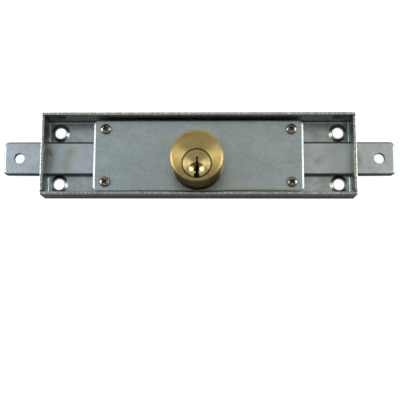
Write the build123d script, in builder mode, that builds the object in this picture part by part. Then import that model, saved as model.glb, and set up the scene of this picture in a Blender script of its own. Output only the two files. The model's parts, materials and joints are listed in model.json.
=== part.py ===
from build123d import *

import os
from math import acos, atan, cos, degrees, pi, radians, sin, sqrt, tan

# Roller shutter lock, modelled lying on its back. The origin is the centre of the case's
# back face, +X runs along the case, +Z points out of the open side, along the lock cylinder.
# All sizes are in millimetres.

# Case, folded from sheet
case_length = 160.0
case_width = 42.5
case_height = 15.5
case_sheet = 1.5
inner_bend = 0.8
seam_gap = 0.25

# Pressed fixing holes in the floor
fixing_inset_x = 7.5
fixing_inset_y = 7.6
fixing_y = -0.2
fixing_hole_radius = 2.9
fixing_rim_height = 1.2
fixing_rim_top_radius = 3.2
fixing_rim_foot_radius = 4.65
fixing_recess_radius = 4.2
fixing_recess_depth = 1.4

# Cover plate and what carries it
plate_end_inset = 26.0
plate_side_gap = 1.35
plate_thickness = 1.5
plate_corner_radius = 2.5
plate_edge_width = 1.0
plate_edge_depth = 0.5
cover_screw_inset_x = 6.2
cover_screw_inset_y = 4.6
post_across_flats = 5.5
screw_shank_radius = 1.45
screw_thread_length = 5.0
tapped_hole_margin = 0.6
pan_head_radius = 2.8
pan_head_height = 2.0
pan_head_bevel = 0.7
cross_recess_length = 3.1
cross_recess_width = 0.7
cross_recess_depth = 1.2

# Lock cylinder
cylinder_x = -0.25
cylinder_wall_gap = 1.75
housing_wall = 2.2
cylinder_edge_width = 1.0
cylinder_edge_depth = 0.6
plug_drop = 3.8
plug_radius = 7.0
plug_lift = 0.2
plug_tail = 0.7
cylinder_screw_offset_x = 9.2
cylinder_screw_rise = 4.0
cylinder_screw_length = 7.0
countersunk_head_radius = 2.75

# Keyway and the dished mouth of the plug
keyway_top = 2.8
keyway_shoulder = -0.9
keyway_narrow_width = 1.1
keyway_narrow_shift = 0.15
keyway_wide_width = 2.6
keyway_rib_top = -3.7
keyway_rib_bottom = -4.7
keyway_left_rib = 0.8
keyway_right_rib = 0.45
dish_radius = 3.7
dish_depth = 1.6
dish_drop = 3.0

# Pin stacks
pin_count = 5
first_pin_depth = 4.2
pin_pitch = 3.6
last_pin_inset = 3.6
pin_radius = 1.35
key_pin_tips = (1.3, 0.1, 0.9, -0.5, 0.6)
key_pin_point = 0.7
driver_pin_length = 4.2
shear_gap = 0.15
chamber_floor = -1.2
spring_radius = 1.0
spring_wire_radius = 0.2
spring_turns = 3
spring_steps = 8
chamber_plug_length = 1.8

# Ring clip behind the plug
clip_plate_gap = 0.1
clip_groove_width = 1.0
clip_groove_depth = 0.7
clip_thickness = 0.9
clip_overhang = 0.9
clip_mouth_width = 7.0

# Bolts
bolt_reach = 21.6
bolt_rim_gap = 0.15
bolt_y = -0.5
bolt_thickness = 3.0
bolt_lift = 0.2
bolt_corner_radius = 2.8
bolt_edge_width = 1.1
bolt_edge_depth = 0.6
bolt_hole_inset = 8.3
bolt_hole_radius = 2.7
rack_arm_width = 4.9
rack_margin = 2.3
rack_web_width = 4.5
rack_web_fillet = 1.2
notch_gap = 2.3

# Rack and pinion: one turn of the plug carries each bolt by pinion_teeth pitches
gear_module = 0.7
pinion_teeth = 8
pressure_angle = 25.0
tooth_addendum = 0.8
tooth_dedendum = 1.0
profile_shift = 0.1
tooth_backlash = 0.16
flank_points = 4
pivot_radius = 1.6
flange_radius = 6.0
flange_lift = 0.2
flange_thickness = 0.9
tongue_length = 8.8
tongue_width = 2.8
tongue_height = 1.4

# Guide studs that run in the slots of the bolts
stud_x = 43.5
stud_radius = 2.0
stud_head_radius = 3.75
stud_head_height = 1.4

# Clearances
running_clearance = 0.05
tight_clearance = 0.03
slot_clearance = 0.3
wall_slot_clearance = 0.4
head_clearance = 0.15

# Worked out from the sizes above
outer_bend = inner_bend + case_sheet
fixing_spacing_x = case_length - 2 * fixing_inset_x
fixing_spacing_y = case_width - 2 * fixing_inset_y
plate_length = case_length - 2 * plate_end_inset
plate_width = case_width - 2 * (case_sheet + plate_side_gap)
cover_screw_spacing_x = plate_length - 2 * cover_screw_inset_x
cover_screw_spacing_y = plate_width - 2 * cover_screw_inset_y
bolt_span = case_length + 2 * bolt_reach
bolt_width = fixing_spacing_y - 2 * (fixing_rim_foot_radius + bolt_rim_gap)
bolt_floor = case_sheet + bolt_lift
bolt_top = bolt_floor + bolt_thickness
flange_floor = bolt_top + flange_lift
flange_top = flange_floor + flange_thickness
plug_back_height = flange_top + plug_lift
clip_groove_height = plug_back_height + plug_tail
plate_floor = clip_groove_height + clip_groove_width + clip_plate_gap
plate_top_height = plate_floor + plate_thickness
cylinder_radius = plug_radius + plug_drop + housing_wall
cylinder_y = cylinder_radius + cylinder_wall_gap + case_sheet - case_width / 2
cylinder_screw_y = cylinder_y + cylinder_screw_rise
plug_y = cylinder_y - plug_drop
clip_outer_radius = plug_radius + clip_overhang
bore_radius = plug_radius + running_clearance
cylinder_length = first_pin_depth + (pin_count - 1) * pin_pitch + last_pin_inset
cylinder_face_height = plate_top_height + cylinder_length
plug_length = cylinder_face_height - plug_back_height
tapped_radius = screw_shank_radius + running_clearance
chamber_radius = pin_radius + running_clearance
chamber_plug_radius = chamber_radius - tight_clearance
cylinder_crown = cylinder_radius + plug_drop
gear_pitch = pi * gear_module
pitch_radius = gear_module * pinion_teeth / 2
bolt_travel = gear_pitch * pinion_teeth
tip_radius = pitch_radius + gear_module * (tooth_addendum + profile_shift)
root_radius = pitch_radius - gear_module * (tooth_dedendum - profile_shift)
dish_sphere_radius = (dish_radius**2 + dish_depth**2) / (2 * dish_depth)
rack_middle = pitch_radius + gear_module * profile_shift
rack_tip = rack_middle - gear_module * tooth_addendum
rack_root = rack_middle + gear_module * tooth_dedendum
rack_reach = bolt_travel + rack_margin
stud_slot_radius = stud_radius + slot_clearance

os.makedirs("parts", exist_ok=True)


def rounded_trough(plane, base, length, radius):
    """Upright section from this base up, with its two lower corners rounded."""
    with BuildSketch(plane) as section:
        with Locations((0, base)):
            Rectangle(length, case_height, align=(Align.CENTER, Align.MIN))
        fillet(section.vertices().group_by(Axis.Y)[0], radius)
    return section.sketch


def chamber_plane(height, index):
    """Plane across pin chamber number index, at this height above the plug's axis."""
    depth = cylinder_face_height - first_pin_depth - index * pin_pitch
    return Plane(origin=(cylinder_x, plug_y + height, depth), x_dir=(1, 0, 0), z_dir=(0, 1, 0))


def involute_flank():
    """Points of one tooth flank, root to tip, as angle from the tooth's middle and radius."""
    base_radius = pitch_radius * cos(radians(pressure_angle))
    half_tooth = (pi / 2 + 2 * profile_shift * tan(radians(pressure_angle))) * gear_module / 2
    half_angle = (half_tooth - tooth_backlash / 2) / pitch_radius
    pitch_roll = tan(radians(pressure_angle)) - radians(pressure_angle)
    points = []
    for step in range(flank_points):
        radius = base_radius + (tip_radius - base_radius) * step / (flank_points - 1)
        turn = acos(base_radius / radius)
        points.append((half_angle + pitch_roll - (tan(turn) - turn), radius))
    return points


# Case tray
fixing_places = [
    (side_x * fixing_spacing_x / 2, fixing_y + side_y * fixing_spacing_y / 2)
    for side_x in (-1, 1)
    for side_y in (-1, 1)
]
with BuildPart() as case_hollow:
    hollow_length = case_length - 2 * case_sheet
    hollow_width = case_width - 2 * case_sheet
    extrude(rounded_trough(Plane.YZ, case_sheet, hollow_width, inner_bend), amount=case_length, both=True)
    extrude(
        rounded_trough(Plane.XZ, case_sheet, hollow_length, inner_bend),
        amount=case_width,
        both=True,
        mode=Mode.INTERSECT,
    )

with BuildPart() as case_tray:
    extrude(rounded_trough(Plane.YZ, 0, case_width, outer_bend), amount=case_length, both=True)
    extrude(
        rounded_trough(Plane.XZ, 0, case_length, outer_bend),
        amount=case_width,
        both=True,
        mode=Mode.INTERSECT,
    )
    add(case_hollow.part, mode=Mode.SUBTRACT)

    # slots in the end walls for the bolts
    with BuildSketch(Plane.YZ):
        with Locations((bolt_y, case_sheet)):
            Rectangle(
                bolt_width + 2 * wall_slot_clearance,
                bolt_lift + bolt_thickness + wall_slot_clearance,
                align=(Align.CENTER, Align.MIN),
            )
    extrude(amount=case_length, both=True, mode=Mode.SUBTRACT)

    # open seams where the end walls meet the long walls
    seam_y = case_width / 2 - case_sheet - seam_gap / 2
    with BuildSketch(Plane.YZ):
        for side in (-1, 1):
            with Locations((side * seam_y, outer_bend)):
                Rectangle(seam_gap, case_height, align=(Align.CENTER, Align.MIN))
    extrude(amount=case_length, both=True, mode=Mode.SUBTRACT)

    # pressed fixing holes: a raised rim inside, a sunk recess outside
    rim_taper = degrees(atan((fixing_rim_foot_radius - fixing_rim_top_radius) / fixing_rim_height))
    with BuildSketch(Plane.XY.offset(case_sheet)):
        with Locations(*fixing_places):
            Circle(fixing_rim_foot_radius)
    extrude(amount=fixing_rim_height, taper=rim_taper)
    recess_taper = degrees(atan((fixing_recess_radius - fixing_hole_radius) / fixing_recess_depth))
    with BuildSketch(Plane.XY):
        with Locations(*fixing_places):
            Circle(fixing_recess_radius)
    extrude(amount=fixing_recess_depth, taper=recess_taper, mode=Mode.SUBTRACT)
    with BuildSketch(Plane.XY):
        with Locations(*fixing_places):
            Circle(fixing_hole_radius)
    extrude(amount=case_height, mode=Mode.SUBTRACT)

    # hole for the pinion's pivot
    with BuildSketch(Plane.XY):
        with Locations((cylinder_x, plug_y)):
            Circle(pivot_radius + running_clearance)
    extrude(amount=case_sheet, mode=Mode.SUBTRACT)
case_tray.part.label = "case_tray"
export_step(case_tray.part, "parts/case_tray.step")

# Cover plate
with BuildPart() as cover_plate:
    with BuildSketch(Plane.XY.offset(plate_floor)):
        RectangleRounded(plate_length, plate_width, plate_corner_radius)
    extrude(amount=plate_thickness)
    plate_top = cover_plate.faces().sort_by(Axis.Z)[-1]
    chamfer(plate_top.edges(), plate_edge_width, plate_edge_depth, reference=plate_top)
    with BuildSketch(Plane.XY.offset(plate_floor)):
        with GridLocations(cover_screw_spacing_x, cover_screw_spacing_y, 2, 2):
            Circle(screw_shank_radius + slot_clearance)
        with Locations((cylinder_x, plug_y)):
            Circle(bore_radius)
    extrude(amount=plate_thickness, mode=Mode.SUBTRACT)
    for side in (-1, 1):
        with Locations(Plane(
            origin=(cylinder_x + side * cylinder_screw_offset_x, cylinder_screw_y, plate_floor),
            z_dir=(0, 0, -1),
        )):
            CounterSinkHole(
                screw_shank_radius + running_clearance,
                countersunk_head_radius + running_clearance,
                counter_sink_angle=90,
            )
cover_plate.part.label = "cover_plate"
export_step(cover_plate.part, "parts/cover_plate.step")

# Threaded six-sided posts, welded to the floor
for number in range(4):
    post_x = (-1 if number % 2 == 0 else 1) * cover_screw_spacing_x / 2
    post_y = (1 if number < 2 else -1) * cover_screw_spacing_y / 2
    with BuildPart() as cover_post:
        with BuildSketch(Plane.XY.offset(case_sheet)):
            with Locations((post_x, post_y)):
                RegularPolygon(post_across_flats / 2, 6, major_radius=False)
        extrude(amount=plate_floor - case_sheet)
        tapped_depth = screw_thread_length - plate_thickness + tapped_hole_margin
        with BuildSketch(Plane.XY.offset(plate_floor - tapped_depth)):
            with Locations((post_x, post_y)):
                Circle(tapped_radius)
        extrude(amount=tapped_depth, mode=Mode.SUBTRACT)
    cover_post.part.label = f"cover_post_{number + 1}"
    export_step(cover_post.part, f"parts/cover_post_{number + 1}.step")

    # Pan head screw with a cross recess
    with BuildPart() as cover_screw:
        with BuildSketch(Plane.XY.offset(plate_top_height - screw_thread_length)):
            with Locations((post_x, post_y)):
                Circle(screw_shank_radius)
        extrude(amount=screw_thread_length)
        with BuildSketch(Plane.XY.offset(plate_top_height)):
            with Locations((post_x, post_y)):
                Circle(pan_head_radius)
        extrude(amount=pan_head_height)
        chamfer(cover_screw.edges().sort_by(Axis.Z)[-1], pan_head_bevel)
        recess_floor = plate_top_height + pan_head_height - cross_recess_depth
        with BuildSketch(Plane.XY.offset(recess_floor)):
            with Locations((post_x, post_y)):
                Rectangle(cross_recess_length, cross_recess_width, rotation=45)
                Rectangle(cross_recess_width, cross_recess_length, rotation=45)
        extrude(amount=pan_head_height, mode=Mode.SUBTRACT)
    cover_screw.part.label = f"cover_screw_{number + 1}"
    export_step(cover_screw.part, f"parts/cover_screw_{number + 1}.step")

# Cylinder housing
with BuildPart() as cylinder_body:
    with BuildSketch(Plane.XY.offset(plate_top_height)):
        with Locations((cylinder_x, cylinder_y)):
            Circle(cylinder_radius)
    extrude(amount=cylinder_length)
    cylinder_face = cylinder_body.faces().sort_by(Axis.Z)[-1]
    chamfer(cylinder_face.edges(), cylinder_edge_width, cylinder_edge_depth, reference=cylinder_face)
    with BuildSketch(Plane.XY.offset(plate_top_height)):
        with Locations((cylinder_x, plug_y)):
            Circle(bore_radius)
    extrude(amount=cylinder_length, mode=Mode.SUBTRACT)
    for index in range(pin_count):
        with BuildSketch(chamber_plane(0, index)):
            Circle(chamber_radius)
        extrude(amount=cylinder_crown, mode=Mode.SUBTRACT)
    screw_reach = cylinder_screw_length - plate_thickness + tapped_hole_margin
    with BuildSketch(Plane.XY.offset(plate_top_height)):
        for side in (-1, 1):
            with Locations((cylinder_x + side * cylinder_screw_offset_x, cylinder_screw_y)):
                Circle(tapped_radius)
    extrude(amount=screw_reach, mode=Mode.SUBTRACT)
cylinder_body.part.label = "cylinder_body"
export_step(cylinder_body.part, "parts/cylinder_body.step")

# Countersunk screws that hold the housing to the plate
head_height = countersunk_head_radius - screw_shank_radius
for number, side in enumerate((-1, 1), start=1):
    with BuildPart() as cylinder_screw:
        with BuildSketch(Plane.XY.offset(plate_floor)):
            with Locations((cylinder_x + side * cylinder_screw_offset_x, cylinder_screw_y)):
                Circle(countersunk_head_radius)
        extrude(amount=head_height, taper=45)
        with BuildSketch(Plane.XY.offset(plate_floor)):
            with Locations((cylinder_x + side * cylinder_screw_offset_x, cylinder_screw_y)):
                Circle(screw_shank_radius)
        extrude(amount=cylinder_screw_length)
        with BuildSketch(Plane.XY.offset(plate_floor)):
            with Locations((cylinder_x + side * cylinder_screw_offset_x, cylinder_screw_y)):
                Rectangle(2 * countersunk_head_radius, cross_recess_width)
        extrude(amount=cross_recess_width, mode=Mode.SUBTRACT)
    cylinder_screw.part.label = f"cylinder_screw_{number}"
    export_step(cylinder_screw.part, f"parts/cylinder_screw_{number}.step")

# Plug
with BuildPart() as plug:
    with BuildSketch(Plane.XY.offset(plug_back_height)):
        with Locations((cylinder_x, plug_y)):
            Circle(plug_radius)
    extrude(amount=plug_length)

    # groove for the ring clip
    with BuildSketch(Plane.XY.offset(clip_groove_height)):
        with Locations((cylinder_x, plug_y)):
            Circle(plug_radius)
            Circle(plug_radius - clip_groove_depth, mode=Mode.SUBTRACT)
    extrude(amount=clip_groove_width, mode=Mode.SUBTRACT)

    # pocket for the pinion's tongue
    with BuildSketch(Plane.XY.offset(plug_back_height)):
        with Locations((cylinder_x, plug_y)):
            SlotOverall(tongue_length + 4 * running_clearance, tongue_width + 4 * running_clearance)
    extrude(amount=flange_top + tongue_height + head_clearance - plug_back_height, mode=Mode.SUBTRACT)

    # dished mouth below the plug's middle
    with Locations((cylinder_x, plug_y - dish_drop, cylinder_face_height - dish_depth + dish_sphere_radius)):
        Sphere(dish_sphere_radius, mode=Mode.SUBTRACT)

    # keyway: a narrow slot above, a wide slot with a rib on each side below
    with BuildSketch(Plane.XY.offset(plug_back_height)):
        with Locations((cylinder_x + keyway_narrow_shift, plug_y)):
            with Locations((0, (keyway_top + keyway_shoulder) / 2)):
                SlotCenterToCenter(keyway_top - keyway_shoulder, keyway_narrow_width, rotation=90)
        with Locations((cylinder_x, plug_y + keyway_shoulder)):
            Rectangle(keyway_wide_width, plug_radius, align=(Align.CENTER, Align.MAX))
        rib_height = keyway_rib_top - keyway_rib_bottom
        rib_y = plug_y + keyway_rib_bottom
        with Locations((cylinder_x - keyway_wide_width / 2, rib_y)):
            Rectangle(keyway_left_rib, rib_height, align=(Align.MIN, Align.MIN), mode=Mode.SUBTRACT)
        with Locations((cylinder_x + keyway_wide_width / 2, rib_y)):
            Rectangle(keyway_right_rib, rib_height, align=(Align.MAX, Align.MIN), mode=Mode.SUBTRACT)
    extrude(amount=plug_length, mode=Mode.SUBTRACT)

    # pin chambers
    for index in range(pin_count):
        with BuildSketch(chamber_plane(chamber_floor, index)):
            Circle(chamber_radius)
        extrude(amount=plug_radius - chamber_floor, mode=Mode.SUBTRACT)
plug.part.label = "plug"
export_step(plug.part, "parts/plug.step")

# Ring clip
with BuildPart() as plug_clip:
    with BuildSketch(Plane.XY.offset(clip_groove_height + (clip_groove_width - clip_thickness) / 2)):
        with Locations((cylinder_x, plug_y)):
            Circle(clip_outer_radius)
            Circle(plug_radius - clip_groove_depth + running_clearance, mode=Mode.SUBTRACT)
        with Locations((cylinder_x, plug_y)):
            Rectangle(
                clip_mouth_width,
                clip_outer_radius,
                align=(Align.CENTER, Align.MIN),
                mode=Mode.SUBTRACT,
            )
    extrude(amount=clip_thickness)
plug_clip.part.label = "plug_clip"
export_step(plug_clip.part, "parts/plug_clip.step")

# Pin stacks, standing at the shear line between plug and housing
key_pin_top = sqrt(plug_radius**2 - pin_radius**2) - running_clearance
driver_floor = plug_radius + shear_gap
spring_floor = driver_floor + driver_pin_length
spring_room = cylinder_crown - chamber_plug_length - spring_floor
spring_height = spring_room - 2 * spring_wire_radius - 2 * running_clearance
for index in range(pin_count):
    number = index + 1
    tip = key_pin_tips[index]

    with BuildPart() as key_pin:
        with BuildSketch(chamber_plane(tip, index)):
            Circle(pin_radius)
        extrude(amount=key_pin_top - tip)
        chamfer(key_pin.edges().sort_by(Axis.Y)[0], key_pin_point)
    key_pin.part.label = f"key_pin_{number}"
    export_step(key_pin.part, f"parts/key_pin_{number}.step")

    with BuildPart() as driver_pin:
        with BuildSketch(chamber_plane(driver_floor, index)):
            Circle(pin_radius)
        extrude(amount=driver_pin_length)
    driver_pin.part.label = f"driver_pin_{number}"
    export_step(driver_pin.part, f"parts/driver_pin_{number}.step")

    with BuildPart() as pin_spring:
        spring_foot = chamber_plane(spring_floor + spring_wire_radius + running_clearance, index).origin
        with BuildLine() as coil:
            Polyline([
                spring_foot + Vector(
                    spring_radius * sin(2 * pi * step / spring_steps),
                    spring_height * step / (spring_steps * spring_turns),
                    spring_radius * cos(2 * pi * step / spring_steps),
                )
                for step in range(spring_steps * spring_turns + 1)
            ])
        with BuildSketch(Plane(origin=coil.line @ 0, z_dir=coil.line % 0)):
            RegularPolygon(spring_wire_radius, 4)
        sweep(path=coil.line, transition=Transition.RIGHT)
    pin_spring.part.label = f"pin_spring_{number}"
    export_step(pin_spring.part, f"parts/pin_spring_{number}.step")

    # the outer end is turned flush with the housing
    with BuildPart() as chamber_plug:
        with BuildSketch(chamber_plane(cylinder_crown - chamber_plug_length, index)):
            Circle(chamber_plug_radius)
        extrude(amount=chamber_plug_length)
        with BuildSketch(Plane.XY.offset(plate_top_height)):
            with Locations((cylinder_x, cylinder_y)):
                Circle(cylinder_radius)
        extrude(amount=cylinder_length, mode=Mode.INTERSECT)
    chamber_plug.part.label = f"chamber_plug_{number}"
    export_step(chamber_plug.part, f"parts/chamber_plug_{number}.step")

# Drive pinion
with BuildPart() as drive_pinion:
    flank = involute_flank()
    base_angle = flank[0][0]
    with BuildSketch(Plane.XY.offset(bolt_floor)):
        with Locations((cylinder_x, plug_y)):
            Circle(root_radius)
        for tooth in range(pinion_teeth):
            middle = pi / 2 + 2 * pi * tooth / pinion_teeth
            left_side = [(root_radius * 0.95, middle + base_angle)]
            left_side += [(radius, middle + angle) for angle, radius in flank]
            right_side = [(radius, 2 * middle - angle) for radius, angle in left_side]
            outline = left_side + right_side[::-1]
            with BuildLine():
                Polyline(
                    [
                        (cylinder_x + radius * cos(angle), plug_y + radius * sin(angle))
                        for radius, angle in outline
                    ],
                    close=True,
                )
            make_face()
    extrude(amount=flange_floor - bolt_floor)
    with BuildSketch(Plane.XY.offset(flange_floor)):
        with Locations((cylinder_x, plug_y)):
            Circle(flange_radius)
    extrude(amount=flange_thickness)
    with BuildSketch(Plane.XY.offset(flange_top)):
        with Locations((cylinder_x, plug_y)):
            SlotOverall(tongue_length, tongue_width)
    extrude(amount=tongue_height)
    with BuildSketch(Plane.XY.offset(bolt_floor)):
        with Locations((cylinder_x, plug_y)):
            Circle(pivot_radius)
    extrude(amount=tight_clearance - bolt_floor)
drive_pinion.part.label = "drive_pinion"
export_step(drive_pinion.part, "parts/drive_pinion.step")


def rack_gaps(side, first, last):
    """Faces of the gaps between rack teeth, on the side of the pinion where side is 1 or -1."""
    slope = tan(radians(pressure_angle))
    half_gap = gear_pitch / 4 + tooth_backlash / 2
    half_mouth = half_gap + slope * gear_module * tooth_addendum
    half_root = half_gap - slope * gear_module * tooth_dedendum
    with BuildSketch(Plane.XY.offset(bolt_floor)) as gaps:
        for index in range(first, last + 1):
            gap_x = cylinder_x + index * gear_pitch
            with BuildLine():
                Polyline(
                    (gap_x - half_mouth, plug_y + side * rack_tip),
                    (gap_x - half_root, plug_y + side * rack_root),
                    (gap_x + half_root, plug_y + side * rack_root),
                    (gap_x + half_mouth, plug_y + side * rack_tip),
                    close=True,
                )
            make_face()
    return gaps.sketch


# Left bolt: its rack faces down on the pinion
bolt_end = bolt_span / 2
bolt_side = bolt_y + bolt_width / 2
notch_x = cylinder_x - tip_radius - notch_gap
rack_end = cylinder_x + rack_reach
with BuildPart() as left_bolt:
    with BuildSketch(Plane.XY.offset(bolt_floor)) as left_outline:
        with Locations((-bolt_end, bolt_y)):
            Rectangle(bolt_end + rack_end, bolt_width, align=(Align.MIN, Align.CENTER))
        fillet(left_outline.vertices().group_by(Axis.X)[0], bolt_corner_radius)
        with Locations((notch_x, plug_y + rack_tip)):
            Rectangle(
                rack_reach + bolt_span,
                bolt_width,
                align=(Align.MIN, Align.MAX),
                mode=Mode.SUBTRACT,
            )
    extrude(amount=bolt_thickness)
    left_top = left_bolt.faces().sort_by(Axis.Z)[-1]
    end_rim = left_top.edges().filter_by_position(Axis.X, -bolt_span, notch_x - 0.1)
    long_rim = left_top.edges().filter_by_position(Axis.Y, bolt_side - 0.01, bolt_side + 0.01)
    chamfer(end_rim + long_rim, bolt_edge_width, bolt_edge_depth, reference=left_top)
    extrude(rack_gaps(1, -2, pinion_teeth + 1), amount=bolt_thickness, mode=Mode.SUBTRACT)
    with BuildSketch(Plane.XY.offset(bolt_floor)):
        with Locations((-bolt_end + bolt_hole_inset, bolt_y)):
            Circle(bolt_hole_radius)
        with Locations((-stud_x + bolt_travel / 2, bolt_y)):
            SlotCenterToCenter(bolt_travel, 2 * stud_slot_radius)
    extrude(amount=bolt_thickness, mode=Mode.SUBTRACT)
left_bolt.part.label = "left_bolt"
export_step(left_bolt.part, "parts/left_bolt.step")

# Right bolt: a cranked arm carries its rack below the pinion, facing up
arm_start = cylinder_x - rack_reach
web_start = rack_end + slot_clearance
with BuildPart() as right_bolt:
    with BuildSketch(Plane.XY.offset(bolt_floor)) as right_outline:
        with Locations((bolt_end, bolt_y)):
            Rectangle(bolt_end - web_start, bolt_width, align=(Align.MAX, Align.CENTER))
        fillet(right_outline.vertices().group_by(Axis.X)[-1], bolt_corner_radius)
        arm_foot = plug_y - rack_root - rack_arm_width
        with Locations((web_start, arm_foot)):
            Rectangle(rack_web_width, -arm_foot, align=(Align.MIN, Align.MIN))
        with Locations((arm_start, arm_foot)):
            Rectangle(
                web_start + rack_web_width - arm_start,
                rack_arm_width + rack_root - rack_tip,
                align=(Align.MIN, Align.MIN),
            )
        arm_corner = right_outline.vertices().sort_by_distance((web_start, plug_y - rack_tip))[0]
        web_corner_y = bolt_y - bolt_width / 2
        web_corner = right_outline.vertices().sort_by_distance((web_start + rack_web_width, web_corner_y))[0]
        foot_corner = right_outline.vertices().sort_by_distance((web_start + rack_web_width, arm_foot))[0]
        fillet([arm_corner, web_corner, foot_corner], rack_web_fillet)
    extrude(amount=bolt_thickness)
    right_top = right_bolt.faces().sort_by(Axis.Z)[-1]
    web_side = web_start + rack_web_width + rack_web_fillet
    right_rim = right_top.edges().filter_by_position(Axis.X, web_side + 0.1, bolt_span)
    chamfer(right_rim, bolt_edge_width, bolt_edge_depth, reference=right_top)
    extrude(rack_gaps(-1, -pinion_teeth - 1, 2), amount=bolt_thickness, mode=Mode.SUBTRACT)
    with BuildSketch(Plane.XY.offset(bolt_floor)):
        with Locations((bolt_end - bolt_hole_inset, bolt_y)):
            Circle(bolt_hole_radius)
        with Locations((stud_x - bolt_travel / 2, bolt_y)):
            SlotCenterToCenter(bolt_travel, 2 * stud_slot_radius)
    extrude(amount=bolt_thickness, mode=Mode.SUBTRACT)
right_bolt.part.label = "right_bolt"
export_step(right_bolt.part, "parts/right_bolt.step")

# Guide studs, welded to the floor
for number, side in enumerate((-1, 1), start=1):
    with BuildPart() as guide_stud:
        with BuildSketch(Plane.XY.offset(case_sheet)):
            with Locations((side * stud_x, bolt_y)):
                Circle(stud_radius)
        extrude(amount=bolt_top + head_clearance - case_sheet)
        with BuildSketch(Plane.XY.offset(bolt_top + head_clearance)):
            with Locations((side * stud_x, bolt_y)):
                Circle(stud_head_radius)
        extrude(amount=stud_head_height)
    guide_stud.part.label = f"guide_stud_{number}"
    export_step(guide_stud.part, f"parts/guide_stud_{number}.step")
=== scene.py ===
"""Looks of a roller shutter lock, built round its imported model.

The lock lies on its back on a pale floor. Sizes of the pieces are in millimetres, and each mesh
is brought to metres once, when its object is made. The frame is the model's own: +X along the
case, +Z out of its open side, the origin in the middle of the case's back face.
"""

import json
import logging
import math
from collections.abc import Callable
from dataclasses import dataclass, field
from enum import Enum

import bmesh
import bpy
from mathutils import Matrix, Vector

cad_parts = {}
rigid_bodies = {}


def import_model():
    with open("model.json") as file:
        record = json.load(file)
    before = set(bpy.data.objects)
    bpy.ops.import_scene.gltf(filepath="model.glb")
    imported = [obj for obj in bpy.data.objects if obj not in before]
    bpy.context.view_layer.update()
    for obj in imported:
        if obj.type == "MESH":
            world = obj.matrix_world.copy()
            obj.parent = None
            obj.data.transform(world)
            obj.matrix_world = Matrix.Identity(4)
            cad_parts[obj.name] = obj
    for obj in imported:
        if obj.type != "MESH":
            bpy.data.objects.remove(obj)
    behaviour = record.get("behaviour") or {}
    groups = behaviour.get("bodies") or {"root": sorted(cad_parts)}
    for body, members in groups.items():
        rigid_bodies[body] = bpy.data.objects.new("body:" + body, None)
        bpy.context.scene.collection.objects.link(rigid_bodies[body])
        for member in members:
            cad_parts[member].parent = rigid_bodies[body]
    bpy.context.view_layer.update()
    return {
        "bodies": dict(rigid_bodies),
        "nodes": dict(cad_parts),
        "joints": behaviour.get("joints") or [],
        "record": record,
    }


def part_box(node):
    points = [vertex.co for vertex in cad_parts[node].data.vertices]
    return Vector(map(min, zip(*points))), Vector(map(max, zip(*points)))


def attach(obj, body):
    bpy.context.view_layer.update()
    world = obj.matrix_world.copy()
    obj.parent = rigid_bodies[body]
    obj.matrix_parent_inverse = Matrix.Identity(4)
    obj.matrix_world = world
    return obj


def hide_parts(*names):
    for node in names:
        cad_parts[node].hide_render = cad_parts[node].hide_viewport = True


LOG = logging.getLogger("shutter_lock")
MM = 0.001
# Name of the face layer that marks where a screw recess gets painted shade.
HOLLOW_SHADE_LAYER = "grime"

Colour = tuple[float, float, float]
Point = tuple[float, float, float]
Range = tuple[float, float]
Stops = tuple[tuple[float, Colour], ...]
Socket = bpy.types.NodeSocket
Shape = bmesh.types.BMesh

WHITE: Colour = (1.0, 1.0, 1.0)
UNIT: Range = (0.0, 1.0)
# Most values of a cloudy pattern lie in this range.
CLOUD_RANGE: Range = (0.3, 0.7)
# How far a surface faces up or down where it starts to count as upright, and where it fully does.
SLOPE_RANGE: Range = (0.55, 0.15)
# Height of the finest marks on a surface, in millimetres.
FINE_BUMP = 0.004
# Points nearer to each other than this, in millimetres, become one after a spin or a cut.
MERGE_DISTANCE = 0.0005


class Axis(Enum):
    """Directions of the frame: X along the case, Y across it, Z out of its open side."""

    X = (1.0, 0.0, 0.0)
    Y = (0.0, 1.0, 0.0)
    Z = (0.0, 0.0, 1.0)


class Body(Enum):
    """Moving groups of the lock, as the frame names them."""

    ROOT = "root"
    PLUG = "plug"
    LEFT_BOLT = "left_bolt"
    RIGHT_BOLT = "right_bolt"


class Blend(Enum):
    """Ways to lay one colour over another."""

    OVER = "MIX"
    TIMES = "MULTIPLY"
    SOFT = "SOFT_LIGHT"


class Ray(Enum):
    """Kinds of ray that a material or the world can tell apart."""

    SEEN = "Is Camera Ray"
    MIRRORED = "Is Glossy Ray"
    PASSED = "Is Transmission Ray"


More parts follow.
